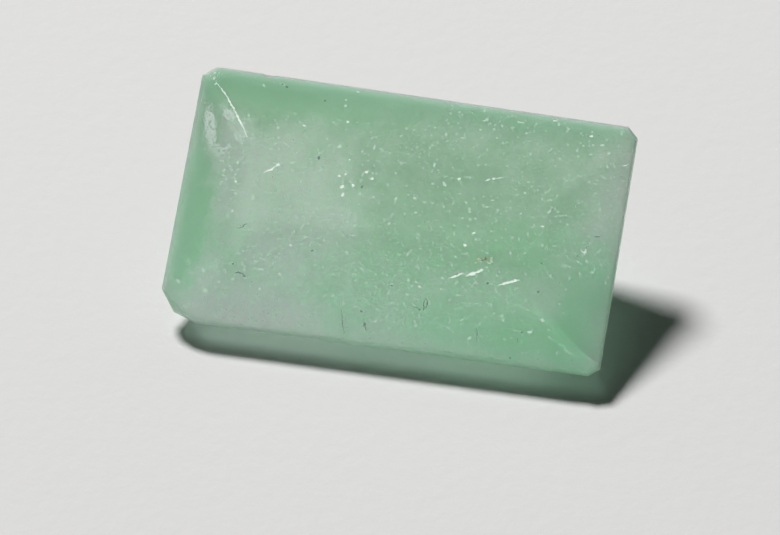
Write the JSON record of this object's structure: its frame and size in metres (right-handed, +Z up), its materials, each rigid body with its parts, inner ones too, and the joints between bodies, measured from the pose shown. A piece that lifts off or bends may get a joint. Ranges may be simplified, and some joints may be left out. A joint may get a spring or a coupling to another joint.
{
  "type": "step-cut emerald stone",
  "caption": "Loose rectangular step-cut emerald, pale milky green and see-through, resting on a long facet of its pavilion with its flat table tilted up.",
  "frame": {"origin": "on the surface that the stone rests on, under the centre of its box", "axes": "+X along the stone's length, +Z up, -Y towards the low long edge of the tilted table"},
  "size_m": [0.018, 0.0096, 0.0063],
  "materials": {
    "emerald": "waxy polish, milky green and see-through"
  },
  "bodies": {
    "root": {"emerald": "emerald"}
  },
  "joints": []
}
